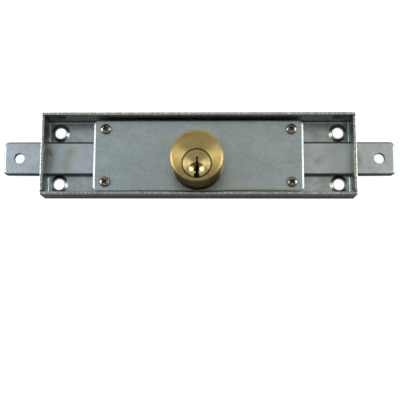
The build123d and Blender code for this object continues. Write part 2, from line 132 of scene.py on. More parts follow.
class NodeBoard:
    """Short calls for adding nodes to the tree of a material or of the world."""

    def __init__(self, tree: bpy.types.NodeTree) -> None:
        """Take a tree and add the node that gives its coordinates.

        Args:
            tree: The tree that gets the nodes.
        """
        self.tree = tree
        self.coords = tree.nodes.new("ShaderNodeTexCoord")

    def link(self, source: Socket, target: Socket) -> None:
        """Wire one socket to another."""
        self.tree.links.new(source, target)

    def add(self, kind: str, output: str | int, inputs: dict[str | int, Socket | Point | float],
            **settings: str) -> Socket:
        """Add a node, set it up and give one of its outputs.

        Args:
            kind: Type of the node.
            output: Name or number of the output.
            inputs: Each input with the socket that feeds it, or with its fixed colour, vector or number.
            settings: Options of the node, by name.

        Returns:
            The output's socket.
        """
        node = self.tree.nodes.new(kind)
        for name, choice in settings.items():
            setattr(node, name, choice)
        for name, value in inputs.items():
            target = node.inputs[name]
            if isinstance(value, bpy.types.NodeSocket):
                self.link(value, target)
            elif target.type == "RGBA":
                target.default_value = (*value, 1.0)
            else:
                target.default_value = value
        return node.outputs[output]

    def math(self, kind: str, first: Socket | float, second: Socket | float = 0.0) -> Socket:
        """Give the result of one operation on one or two values."""
        return self.add("ShaderNodeMath", "Value", {0: first, 1: second}, operation=kind)

    def vector(self, kind: str, *parts: Socket | Point, output: str = "Vector") -> Socket:
        """Give the result of one operation on one or two vectors."""
        return self.add("ShaderNodeVectorMath", output, dict(enumerate(parts)), operation=kind)

    def spread(self, value: Socket, source: Range, target: Range, way: str = "LINEAR") -> Socket:
        """Carry a range of values to another range, and clamp what lies outside.

        Args:
            value: The value to carry over.
            source: The range that it comes from.
            target: What the two ends of that range become.
            way: How the change runs, such as LINEAR.

        Returns:
            The new value's socket.
        """
        limits = dict(zip(("From Min", "From Max", "To Min", "To Max"), (*source, *target)))
        return self.add("ShaderNodeMapRange", "Result", {"Value": value, **limits}, interpolation_type=way)

    def between(self, share: Socket, first: Socket, second: float) -> Socket:
        """Give a first value where a share is 0, a second where it is 1, and else one between them."""
        return self.add("ShaderNodeMix", 0, {0: share, 2: first, 3: second})

    def along(self, place: Socket, axis: Axis) -> Socket:
        """Give one coordinate of a place or a direction."""
        return self.add("ShaderNodeSeparateXYZ", axis.name, {"Vector": place})

    def ray(self, first: Ray, *others: Ray) -> Socket:
        """Give 1 for rays of any of the given kinds, and 0 for all others.

        Args:
            first: One kind.
            others: More kinds.

        Returns:
            The value's socket.
        """
        found = self.add("ShaderNodeLightPath", first.value, {})
        for other in others:
            found = self.math("MAXIMUM", found, self.ray(other))
        return found


class NodeSheet(NodeBoard):
    """Short calls for building one material's node tree."""

    def __init__(self, name: str) -> None:
        """Start a material with a Principled shader wired to its output.

        Args:
            name: Name of the new material.
        """
        self.material = bpy.data.materials.new(name)
        self.material.use_nodes = True
        super().__init__(self.material.node_tree)
        self.shader = self.tree.nodes["Principled BSDF"]

    def place(self, scale: Point = (1, 1, 1), centre: Point = (0, 0, 0)) -> Socket:
        """Give object coordinates in millimetres, moved and then stretched.

        Args:
            scale: Stretch along each axis, per millimetre.
            centre: Point in millimetres that becomes the pattern's origin.

        Returns:
            The socket that holds the placed coordinates.
        """
        stretch = tuple(value / MM for value in scale)
        move = tuple(-part * factor * MM for part, factor in zip(centre, stretch))
        return self.add("ShaderNodeMapping", "Vector", {
            "Vector": self.coords.outputs["Object"], "Scale": stretch, "Location": move})

    def noise(self, place: Socket, scale: float, detail: float = 3.0, rough: float = 0.5,
              distort: float = 0.0) -> Socket:
        """Give a cloudy pattern of values from 0 to 1.

        Args:
            place: Coordinates that the pattern reads.
            scale: Patches per unit of the coordinates.
            detail: Number of finer layers.
            rough: Weight of the finer layers.
            distort: Amount of swirl.

        Returns:
            The pattern's value socket.
        """
        return self.add("ShaderNodeTexNoise", "Fac", {
            "Vector": place, "Scale": scale, "Detail": detail, "Roughness": rough, "Distortion": distort})

    def rings(self, centre: Point, pitch: float) -> Socket:
        """Give uneven rings round an upright axis, like the marks of a lathe tool.

        Args:
            centre: A point of the axis, in millimetres.
            pitch: Mean distance between rings, in millimetres.

        Returns:
            The pattern's value socket.
        """
        marks = {"W": self.from_axis(centre), "Scale": 1.0 / pitch, "Detail": 4.0, "Roughness": 0.7}
        return self.add("ShaderNodeTexNoise", "Fac", marks, noise_dimensions="1D")

    def cells(self, place: Socket, scale: float) -> Socket:
        """Give the distance to the nearest of many scattered points, so many per unit of a place."""
        return self.add("ShaderNodeTexVoronoi", "Distance", {"Vector": place, "Scale": scale})

    def ramp(self, value: Socket, stops: Stops) -> Socket:
        """Turn a value into a colour between the given stops.

        Args:
            value: The value, from 0 to 1.
            stops: Each value with its colour, in rising order.

        Returns:
            The colour's socket.
        """
        node = self.tree.nodes.new("ShaderNodeValToRGB")
        band = node.color_ramp
        while len(band.elements) < len(stops):
            band.elements.new(0.5)
        for element, (position, colour) in zip(band.elements, stops):
            element.position = position
            element.color = (*colour, 1.0)
        self.link(value, node.inputs["Fac"])
        return node.outputs["Color"]

    def blend(self, amount: Socket | float, first: Socket | Colour, second: Socket | Colour,
              kind: Blend = Blend.OVER) -> Socket:
        """Lay a second colour over a first by an amount from 0 to 1."""
        parts = {0: amount, 6: first, 7: second}
        return self.add("ShaderNodeMix", 2, parts, data_type="RGBA", blend_type=kind.value)

    def times(self, first: Socket | Colour, second: Socket | Colour, amount: float = 1.0) -> Socket:
        """Multiply a colour by another, fully or by an amount."""
        return self.blend(amount, first, second, Blend.TIMES)

    def dim(self, amount: Socket, share: float) -> Socket:
        """Give white where an amount is 0, and a grey of the given share where it is 1."""
        return self.blend(amount, WHITE, (share,) * 3)

    def normal(self) -> Socket:
        """Give the direction in which the surface faces."""
        return self.add("ShaderNodeNewGeometry", "Normal", {})

    def facing(self, direction: Axis) -> Socket:
        """Give how far the surface faces along a direction of the frame, from -1 to 1."""
        return self.vector("DOT_PRODUCT", self.normal(), direction.value, output="Value")

    def levelness(self) -> Socket:
        """Give how far the surface faces straight up or down, from 0 to 1."""
        return self.math("ABSOLUTE", self.facing(Axis.Z))

    def steepness(self) -> Socket:
        """Give 1 where the surface is upright and 0 where it lies flat or on a gentle slope."""
        return self.spread(self.levelness(), SLOPE_RANGE, UNIT)

    def paint_side_shade(self, colour: Socket, side_shade: float, front_range: Range, front_shade: float) -> Socket:
        """Paint shade on the upright faces, and more on those at the front.

        Args:
            colour: The colour of the other faces.
            side_shade: Share of it that is left on an upright face.
            front_range: How far along Y a face looks where it starts to be a front face, and where it is one.
            front_shade: Share that is left of that on a front face.

        Returns:
            The darkened colour's socket.
        """
        # Painted shade: upright faces get a darker colour, and faces towards the front a darker one again.
        side_shaded = self.times(colour, self.dim(self.steepness(), side_shade))
        front = self.spread(self.facing(Axis.Y), front_range, UNIT)
        return self.times(side_shaded, self.dim(front, front_shade))

    def marked(self, layer: str) -> Socket:
        """Give a value that the mesh carries on its faces, or 0 where it carries none."""
        return self.add("ShaderNodeAttribute", "Fac", {}, attribute_name=layer)

    def reach(self, place: Socket) -> Socket:
        """Give the distance from a place's origin."""
        return self.vector("LENGTH", place, output="Value")

    def from_axis(self, centre: Point) -> Socket:
        """Give the distance in millimetres from the upright axis through a point."""
        return self.reach(self.vector("MULTIPLY", self.place(centre=centre), (1, 1, 0)))

    def bump(self, layers: list[tuple[Socket, float]]) -> None:
        """Raise the surface by several patterns.

        Args:
            layers: Each pattern with its height in millimetres.
        """
        below: dict[str, Socket] = {}
        for pattern, height in layers:
            raised = {"Height": pattern, "Strength": 1.0, "Distance": height * MM, **below}
            below = {"Normal": self.add("ShaderNodeBump", "Normal", raised)}
        self.link(below["Normal"], self.shader.inputs["Normal"])

    def turned_tangent(self, centre: Point) -> None:
        """Spread the shader's highlights across grooves that run round an upright axis.

        Args:
            centre: A point of the axis, in millimetres.
        """
        groove = self.vector("CROSS_PRODUCT", Axis.Z.value, self.place(centre=centre))
        across = self.vector("CROSS_PRODUCT", self.normal(), groove)
        self.link(across, self.shader.inputs["Tangent"])

    def metal(self, colour: Socket, roughness: Socket) -> None:
        """Make the shader a metal of a colour and a roughness.

        Args:
            colour: The metal's colour.
            roughness: Its roughness.
        """
        self.link(colour, self.shader.inputs["Base Color"])
        self.link(roughness, self.shader.inputs["Roughness"])
        self.shader.inputs["Metallic"].default_value = 1.0


def tinted(tone: Colour, shares: Colour) -> Colour:
    """Give a tone with each of its parts multiplied by a share."""
    return tuple(value * share for value, share in zip(tone, shares))


def shaded(tone: Colour, change: float) -> Colour:
    """Give a tone made lighter or darker by a share of itself."""
    return tinted(tone, (1.0 + change,) * 3)


@dataclass(frozen=True)
class StainAndShadePatch:
    """A patch of another colour on a finish, used for real stains and for painted shade: an ellipsoid in
    millimetres with a soft edge.
    """

    centre: Point
    radii: Point
    colour: Colour
    strength: float
    softness: float = 0.55


@dataclass(frozen=True)
class ZincFinish:
    """Bright zinc plate on rolled steel: cloudy grey, a fine rolled grain, faint rainbow tints."""

    name: str
    tone: Colour = (0.40, 0.42, 0.42)
    contrast: float = 0.16
    grain: Axis = Axis.X
    grain_width: float = 0.35
    grain_length: float = 21.0
    grain_gloss: float = 0.04
    cloud_width: float = 9.0
    rainbow: Stops = (
        (0.30, (0.49, 0.51, 0.60)), (0.43, (0.46, 0.55, 0.54)), (0.55, (0.52, 0.54, 0.46)),
        (0.66, (0.56, 0.52, 0.46)), (0.78, (0.51, 0.48, 0.57)))
    tint: float = 0.40
    streaks: Stops = ((0.25, (0.86, 0.86, 0.86)), (0.6, WHITE), (0.85, (1.08, 1.08, 1.08)))
    streak: float = 0.6
    flecks: Stops = ((0.34, (0.76, 0.77, 0.76)), (0.5, WHITE), (0.70, (1.18, 1.18, 1.16)))
    fleck: float = 0.9
    dulled: Stops = ((0.32, (0.84, 0.84, 0.83)), (0.55, WHITE))
    dulling: float = 0.4
    ends: Range = (-90.0, 90.0)
    end_tints: tuple[Colour, Colour] = ((0.95, 1.0, 1.08), (1.02, 1.0, 0.95))
    # Painted shade: shares of the colour left on upright faces, on front faces and on tilted edges.
    side_shade: float = 0.75
    front_range: Range = (-0.20, -0.50)
    front_shade: float = 0.66
    edge_range: Range = (0.97, 0.88)
    edge_shade: float = 1.0
    roughness: Range = (0.34, 0.48)
    mottle_height: float = 0.012
    worn_above: float = 1000.0
    worn_fade: float = 0.2
    worn_share: float = 0.85
    rubbed: Stops = ((0.36, (0.20, 0.21, 0.175)), (0.50, (0.34, 0.355, 0.31)), (0.61, (0.66, 0.68, 0.62)))
    # Painted highlight: the worn rim is made lighter towards the back.
    highlight_back_range: Range = (18.0, 20.0)
    rim_highlight_tints: tuple[Colour, Colour] = ((1.0, 1.0, 0.97), (1.20, 1.19, 1.17))
    ragged: float = 0.22
    stains_and_shade: tuple[StainAndShadePatch, ...] = ()

    def build(self) -> bpy.types.Material:
        """Make the material.

        Returns:
            The finished material.
        """
        sheet = NodeSheet(self.name)
        stretch = [1.0 / self.grain_width] * 3
        stretch["XYZ".index(self.grain.name)] = 1.0 / self.grain_length
        plain = sheet.place()
        grain = sheet.noise(sheet.place(scale=tuple(stretch)), scale=1.0, detail=4.0, rough=0.6)
        speck = sheet.noise(plain, scale=1.7, detail=3.0, rough=0.75)
        mottle = sheet.noise(plain, scale=0.45, detail=4.0, rough=0.65, distort=0.3)

        coated = self.coat(sheet, grain, speck, mottle)
        worn = self.wear(sheet, self.mark(sheet, speck, coated))
        rough = sheet.math("ADD", sheet.spread(mottle, CLOUD_RANGE, self.roughness),
                           sheet.spread(grain, CLOUD_RANGE, (-self.grain_gloss, self.grain_gloss)))
        sheet.metal(self.darken_sides(sheet, worn), rough)
        sheet.bump([(grain, FINE_BUMP), (speck, FINE_BUMP), (mottle, self.mottle_height)])
        return sheet.material

    def coat(self, sheet: NodeSheet, grain: Socket, speck: Socket, mottle: Socket) -> Socket:
        """Give the colour of the plating itself, with its clouds, tints, grain and flecks.

        Args:
            sheet: The material's nodes.
            grain: Pattern of the rolled grain.
            speck: Pattern of the flecks.
            mottle: Pattern of the dull patches.

        Returns:
            The colour's socket.
        """
        plain = sheet.place()
        cloud = sheet.noise(plain, scale=1.0 / self.cloud_width, detail=5.0, rough=0.6, distort=0.6)
        dark, light = shaded(self.tone, -self.contrast), shaded(self.tone, self.contrast)
        base = sheet.ramp(cloud, ((0.3, dark), (0.5, self.tone), (0.72, light)))
        sheen = sheet.noise(plain, scale=0.8 / self.cloud_width, detail=3.0, distort=1.4)
        colour = sheet.blend(self.tint, base, sheet.ramp(sheen, self.rainbow), Blend.SOFT)
        for pattern, stops, amount in ((grain, self.streaks, self.streak), (speck, self.flecks, self.fleck),
                                       (mottle, self.dulled, self.dulling)):
            colour = sheet.times(colour, sheet.ramp(pattern, stops), amount)
        side = sheet.spread(sheet.along(plain, Axis.X), self.ends, UNIT)
        return sheet.times(colour, sheet.blend(side, *self.end_tints))

    def mark(self, sheet: NodeSheet, speck: Socket, colour: Socket) -> Socket:
        """Lay the finish's stains and patches of painted shade over a colour, each with a ragged edge.

        Args:
            sheet: The material's nodes.
            speck: Pattern that frays the edges.
            colour: The colour below the stains.

        Returns:
            The stained colour's socket.
        """
        fray = sheet.spread(speck, CLOUD_RANGE, (-self.ragged, self.ragged))
        for patch in self.stains_and_shade:
            spot = sheet.place(scale=tuple(1.0 / radius for radius in patch.radii), centre=patch.centre)
            edge = sheet.math("ADD", sheet.reach(spot), fray)
            amount = sheet.spread(edge, (1.0, 1.0 - patch.softness), (0.0, patch.strength))
            colour = sheet.blend(amount, colour, patch.colour)
        return colour

    def wear(self, sheet: NodeSheet, colour: Socket) -> Socket:
        """Rub the plating above a height down to bright and dull patches, with a painted highlight that makes
        it brighter at the back.

        Args:
            sheet: The material's nodes.
            colour: The colour of the unworn plating.

        Returns:
            The worn colour's socket.
        """
        plain = sheet.place()
        high = sheet.spread(
            sheet.along(plain, Axis.Z), (self.worn_above - self.worn_fade, self.worn_above), UNIT)
        chips = sheet.noise(plain, scale=0.9, detail=4.0, rough=0.75)
        # Painted highlight: the rim at the back is lighter.
        back = sheet.spread(sheet.along(plain, Axis.Y), self.highlight_back_range, UNIT)
        bare = sheet.times(sheet.ramp(chips, self.rubbed), sheet.blend(back, *self.rim_highlight_tints))
        return sheet.blend(sheet.math("MULTIPLY", high, self.worn_share), colour, bare)

    def darken_sides(self, sheet: NodeSheet, colour: Socket) -> Socket:
        """Paint shade on the rolled edges and the upright faces, and most of all on the front ones.

        Args:
            sheet: The material's nodes.
            colour: The colour of the flat faces.

        Returns:
            The darkened colour's socket.
        """
        tilted = sheet.spread(sheet.levelness(), self.edge_range, UNIT)
        edged = sheet.times(colour, sheet.dim(tilted, self.edge_shade))
        return sheet.paint_side_shade(edged, self.side_shade, self.front_range, self.front_shade)


@dataclass(frozen=True)
class BrassFinish:
    """Turned brass: rings from the lathe, a darker film in patches, small pits and rub marks, with painted
    shade on upright and front faces and in the groove round the plug.
    """

    name: str
    tone: Colour = (0.56, 0.44, 0.17)
    film_shares: Colour = (0.86, 0.72, 0.55)
    rubbed_change: float = 0.18
    centre: Point = (0.0, 0.0, 0.0)
    ring_pitch: float = 0.9
    ring_height: float = 0.012
    ringed: Stops = ((0.32, (0.80, 0.79, 0.76)), (0.68, (1.12, 1.12, 1.12)))
    flecks: Stops = ((0.32, (0.72, 0.70, 0.66)), (0.55, (1.06, 1.06, 1.06)))
    marking: float = 0.8
    pit_range: Range = (0.10, 0.04)
    pit_colour: Colour = (0.20, 0.14, 0.06)
    pit_strength: float = 0.45
    bore: Point = (0.0, 0.0, 0.0)
    # Painted shade in the groove between plug and housing: its radii, colour and strength.
    groove_shade_radii: Range = (7.0, 7.3)
    hollow_shade_colour: Colour = (0.030, 0.022, 0.010)
    hollow_shade_strength: float = 0.92
    roughness: Range = (0.44, 0.52)
    speck_gloss: float = 0.03
    anisotropy: float = 0.95
    # Painted shade on upright faces and on front faces.
    side_shade: float = 0.62
    front_range: Range = (-0.25, -0.60)
    front_shade: float = 0.40
    dish: Point = (0.0, 0.0, -1000.0)
    dish_radius: float = 3.7
    dish_fade: float = 0.15
    dish_gloss: float = 0.56
    brushed_range: Range = (0.7, 0.95)

    def build(self) -> bpy.types.Material:
        """Make the material.

        Returns:
            The finished material.
        """
        sheet = NodeSheet(self.name)
        plain = sheet.place()
        rings = sheet.rings(self.centre, self.ring_pitch)
        film = sheet.noise(plain, scale=0.22, detail=5.0, rough=0.62, distort=0.8)
        speck = sheet.noise(plain, scale=2.6, detail=3.0, rough=0.65)
        rough = sheet.math("ADD", sheet.spread(film, CLOUD_RANGE, self.roughness),
                           sheet.spread(speck, CLOUD_RANGE, (self.speck_gloss, -self.speck_gloss)))
        milled = sheet.spread(
            sheet.reach(sheet.place(centre=self.dish)), (self.dish_radius + self.dish_fade, self.dish_radius),
            (1.0, self.dish_gloss))
        coloured = self.colour(sheet, rings, film, speck)
        sheet.metal(self.shade_sides_and_groove(sheet, coloured), sheet.math("MULTIPLY", rough, milled))
        brushing = sheet.spread(milled, self.brushed_range, (0.0, self.anisotropy))
        sheet.link(brushing, sheet.shader.inputs["Anisotropic"])
        sheet.turned_tangent(self.centre)
        sheet.bump([(rings, self.ring_height), (speck, FINE_BUMP)])
        return sheet.material

    def colour(self, sheet: NodeSheet, rings: Socket, film: Socket, speck: Socket) -> Socket:
        """Give the colour of the brass itself, with its film, rings, flecks and pits.

        Args:
            sheet: The material's nodes.
            rings: Pattern of the lathe's marks.
            film: Pattern of the darker film.
            speck: Pattern of the flecks.

        Returns:
            The colour's socket.
        """
        base = sheet.ramp(film, (
            (0.30, tinted(self.tone, self.film_shares)), (0.52, self.tone),
            (0.75, shaded(self.tone, self.rubbed_change))))
        turned = sheet.times(base, sheet.ramp(rings, self.ringed), self.marking)
        flecked = sheet.times(turned, sheet.ramp(speck, self.flecks), self.marking)
        pits = sheet.spread(
            sheet.cells(sheet.place(), scale=1.3), self.pit_range, (0.0, self.pit_strength))
        return sheet.blend(pits, flecked, self.pit_colour)

    def shade_sides_and_groove(self, sheet: NodeSheet, colour: Socket) -> Socket:
        """Paint shade on the upright and front faces, and in the groove between plug and housing.

        Args:
            sheet: The material's nodes.
            colour: The colour before the painted shade.

        Returns:
            The shaded colour's socket.
        """
        side_shaded = sheet.paint_side_shade(colour, self.side_shade, self.front_range, self.front_shade)
        grime = sheet.spread(sheet.from_axis(self.bore), self.groove_shade_radii, (0.0, self.hollow_shade_strength))
        return sheet.blend(grime, side_shaded, self.hollow_shade_colour)


@dataclass(frozen=True)
class SteelFinish:
    """Small steel hardware: an even grey with a faint film, painted shade on upright faces, and painted shade
    on the faces that are marked as a recess.
    """

    name: str
    tone: Colour = (0.42, 0.42, 0.41)
    dark: Colour = (0.22, 0.22, 0.21)
    film: Colour = (0.46, 0.42, 0.30)
    film_range: Range = (0.35, 0.65)
    film_amount: float = 0.3
    # Painted shade on upright faces, and in hollows: the marked recess faces here, the plug's groove in the
    # brass.
    side_shade: float = 0.7
    hollow_shade_colour: Colour = (0.012, 0.010, 0.008)
    hollow_shade_strength: float = 0.9
    roughness: Range = (0.26, 0.42)

    def build(self) -> bpy.types.Material:
        """Make the material.

        Returns:
            The finished material.
        """
        sheet = NodeSheet(self.name)
        plain = sheet.place()
        cloud = sheet.noise(plain, scale=0.9, detail=4.0, rough=0.6)
        speck = sheet.noise(plain, scale=4.0, detail=3.0, rough=0.6)
        base = sheet.ramp(cloud, ((0.3, self.dark), (0.6, self.tone)))
        filmed = sheet.blend(sheet.spread(speck, self.film_range, (0.0, self.film_amount)), base, self.film)
        # Painted shade on upright faces and in the marked recess.
        side_shaded = sheet.times(filmed, sheet.dim(sheet.steepness(), self.side_shade))
        grime = sheet.math("MULTIPLY", sheet.marked(HOLLOW_SHADE_LAYER), self.hollow_shade_strength)
        rough = sheet.spread(cloud, CLOUD_RANGE, self.roughness)
        sheet.metal(sheet.blend(grime, side_shaded, self.hollow_shade_colour), rough)
        sheet.bump([(speck, FINE_BUMP)])
        return sheet.material


@dataclass
class FinishSet:
    """All the finishes of the lock, each made into a material once."""

    finishes: tuple[ZincFinish | BrassFinish | SteelFinish, ...]
    made: dict[str, bpy.types.Material] = field(default_factory=dict)

    def material(self, slot_name: str) -> bpy.types.Material:
        """Give the material of one slot of the record.

        Args:
            slot_name: Name of the slot, which its finish has too.

        Returns:
            The material, built the first time that it is asked for.
        """
        if slot_name not in self.made:
            finish = next(entry for entry in self.finishes if entry.name == slot_name)
            self.made[slot_name] = finish.build()
        return self.made[slot_name]


def box_of(node: str) -> tuple[Vector, Vector]:
    """Give the low and the high corner of a CAD node's box, in millimetres."""
    low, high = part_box(node)
    return low / MM, high / MM


def middle_of(node: str) -> Point:
    """Give the middle of a CAD node's box, in millimetres."""
    low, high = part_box(node)
    return tuple((low + high) / 2 / MM)


@dataclass
class Bench:
    """The loaded frame, its finishes, and the ways in which a piece joins them."""

    frame: dict
    finishes: FinishSet
    sharp_angle: float = math.radians(20.0)
    flat_angle: float = math.radians(0.6)
    copy_merge: float = 0.002

    def slot_of(self, node: str) -> str:
        """Give the material slot that the record gives to a CAD node.

        Args:
            node: Name of the CAD node.

        Returns:
            Name of the slot.
        """
        for part in self.frame["record"]["subparts"]:
            if part["node"] == node:
                return part["material_slot"]
        raise KeyError(node)

    def dress(self, node: str) -> None:
        """Give a CAD node the finish of its slot.

        Args:
            node: Name of the CAD node.
        """
        mesh = self.frame["nodes"][node].data
        mesh.materials.clear()
        mesh.materials.append(self.finishes.material(self.slot_of(node)))
        LOG.info("dressed %s", node)

    def make(self, name: str, shape: Shape, body: Body, replaced: str) -> bpy.types.Object:
        """Turn a shape in millimetres into a piece that stands for a CAD node.

        Args:
            name: Name of the new object.
            shape: The finished shape, which is freed here.
            body: Group that the piece moves with.
            replaced: CAD node that it stands for.

        Returns:
            The new object.
        """
        bmesh.ops.scale(shape, vec=(MM, MM, MM), verts=shape.verts)
        mesh = bpy.data.meshes.new(name)
        shape.to_mesh(mesh)
        shape.free()
        mesh.shade_smooth()
        mesh.set_sharp_from_angle(angle=self.sharp_angle)
        mesh.materials.append(self.finishes.material(self.slot_of(replaced)))
        piece = bpy.data.objects.new(name, mesh)
        bpy.context.scene.collection.objects.link(piece)
        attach(piece, body.value)
        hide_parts(replaced)
        flats = piece.modifiers.new("flats", "WEIGHTED_NORMAL")
        flats.keep_sharp = True
        LOG.info("made %s with %d faces", name, len(mesh.polygons))
        return piece

    def copy_shape(self, node: str) -> Shape:
        """Give a CAD node's shape in millimetres, merged, with its flat faces made whole.

        Args:
            node: Name of the CAD node.

        Returns:
            The new shape.
        """
        shape = bmesh.new()
        shape.from_mesh(self.frame["nodes"][node].data)
        bmesh.ops.scale(shape, vec=(1 / MM, 1 / MM, 1 / MM), verts=shape.verts)
        bmesh.ops.remove_doubles(shape, verts=shape.verts, dist=self.copy_merge)
        bmesh.ops.dissolve_limit(
            shape, angle_limit=self.flat_angle, verts=shape.verts, edges=shape.edges,
            use_dissolve_boundaries=False)
        return shape

    def soften(self, shape: Shape, width: float, segments: int = 2, shortest: float = 2.0,
               wanted: Callable[[Vector], bool] = lambda middle: True) -> None:
        """Round the sharp edges of a shape a little, as plating and handling do.

        Args:
            shape: The shape, in millimetres.
            width: Width of the rounding.
            segments: Faces across the rounding.
            shortest: Edges under this many widths are left sharp.
            wanted: Says of an edge's middle whether that edge is rounded.
        """
        shape.normal_update()
        edges = [
            edge for edge in shape.edges
            if len(edge.link_faces) == 2
            and edge.calc_face_angle(0.0) > self.sharp_angle
            and edge.calc_length() > shortest * width
            and wanted((edge.verts[0].co + edge.verts[1].co) / 2)
        ]
        bmesh.ops.bevel(
            shape, geom=edges, offset=width, offset_type="OFFSET", segments=segments, profile=0.5,
            affect="EDGES", clamp_overlap=False, material=-1)


def turned_solid(radius_heights: list[tuple[float, float]], centre: Point, steps: int) -> Shape:
    """Spin an outline round an upright axis into a closed solid.

    Args:
        radius_heights: Points of the outline, from the axis at one end to the axis at the other.
        centre: A point of the axis, in millimetres. Heights count from its Z.
        steps: Steps of the full turn.

    Returns:
        The solid, with its normals outward.
    """
    solid = bmesh.new()
    points = [solid.verts.new((centre[0] + radius, centre[1], centre[2] + height))
              for radius, height in radius_heights]
    edges = [solid.edges.new(pair) for pair in zip(points, points[1:])]
    bmesh.ops.spin(
        solid, geom=points + edges, cent=centre, axis=Axis.Z.value, dvec=(0, 0, 0),
        angle=2 * math.pi, steps=steps, use_merge=True, use_duplicate=False)
    bmesh.ops.remove_doubles(solid, verts=solid.verts, dist=MERGE_DISTANCE)
    bmesh.ops.recalc_face_normals(solid, faces=solid.faces)
    return solid


def carve(shape: Shape, tools: list[Shape]) -> Shape:
    """Cut solids out of a shape.

    Args:
        shape: The shape to cut, which is freed.
        tools: Closed solids to take away, which are freed.

    Returns:
        The cut shape.
    """
    holder = bpy.data.objects.new("blank", bpy.data.meshes.new("blank"))
    shape.to_mesh(holder.data)
    shape.free()
    bpy.context.scene.collection.objects.link(holder)
    helpers = []
    for tool in tools:
        helper = bpy.data.objects.new("cutter", bpy.data.meshes.new("cutter"))
        tool.to_mesh(helper.data)
        tool.free()
        bpy.context.scene.collection.objects.link(helper)
        helpers.append(helper)
        cut = holder.modifiers.new("cut", "BOOLEAN")
        cut.operation = "DIFFERENCE"
        cut.solver = "EXACT"
        cut.object = helper
    bpy.context.view_layer.update()
    ready = holder.evaluated_get(bpy.context.evaluated_depsgraph_get())
    result = bmesh.new()
    result.from_mesh(ready.data)
    for thing in (holder, *helpers):
        mesh = thing.data
        bpy.data.objects.remove(thing)
        bpy.data.meshes.remove(mesh)
    bmesh.ops.remove_doubles(result, verts=result.verts, dist=MERGE_DISTANCE)
    bmesh.ops.recalc_face_normals(result, faces=result.faces)
    return result


@dataclass
class Case:
    """The folded case, with its edges rounded as sheared sheet is, and its pressed collars smoothed."""

    bench: Bench
    edge_width: float = 0.38
    collar_reach: float = 5.2
    foot_reach: float = 3.9
    foot_width: float = 0.50
    foot_above: float = 1.0
    rim_width: float = 0.12

    def build(self) -> None:
        """Make the case."""
        shape = self.bench.copy_shape("case_tray")
        holes = self.hole_middles()

        def reach(middle: Vector) -> float:
            """Give the distance from an edge's middle to the nearest fixing hole."""
            return min((middle.xy - hole).length for hole in holes)

        def at_foot(middle: Vector) -> bool:
            """Say whether an edge is at the foot of a collar, on the case's inside."""
            return self.foot_reach < reach(middle) < self.collar_reach and middle.z > self.foot_above

        self.bench.soften(shape, self.foot_width, segments=3, shortest=1.2, wanted=at_foot)
        self.bench.soften(shape, self.rim_width, wanted=lambda middle: reach(middle) < self.foot_reach)
        self.bench.soften(
            shape, self.edge_width, shortest=1.2, wanted=lambda middle: reach(middle) > self.collar_reach)
        self.bench.make("case_shell", shape, Body.ROOT, "case_tray")

    def hole_middles(self) -> list[Vector]:
        """Give the middles of the four fixing holes, from the record's mount.

        Returns:
            The four points on the case's floor, in millimetres.
        """
        mounts = self.bench.frame["record"]["mounts"]
        mount = next(entry for entry in mounts if entry["name"] == "fixing_holes")
        middle_x, middle_y, _ = (value / MM for value in mount["pos_m"])
        half_x = mount["dims"]["spacing_x_mm"] / 2
        half_y = mount["dims"]["spacing_y_mm"] / 2
        return [
            Vector((middle_x + side_x * half_x, middle_y + side_y * half_y))
            for side_x in (-1, 1)
            for side_y in (-1, 1)
        ]


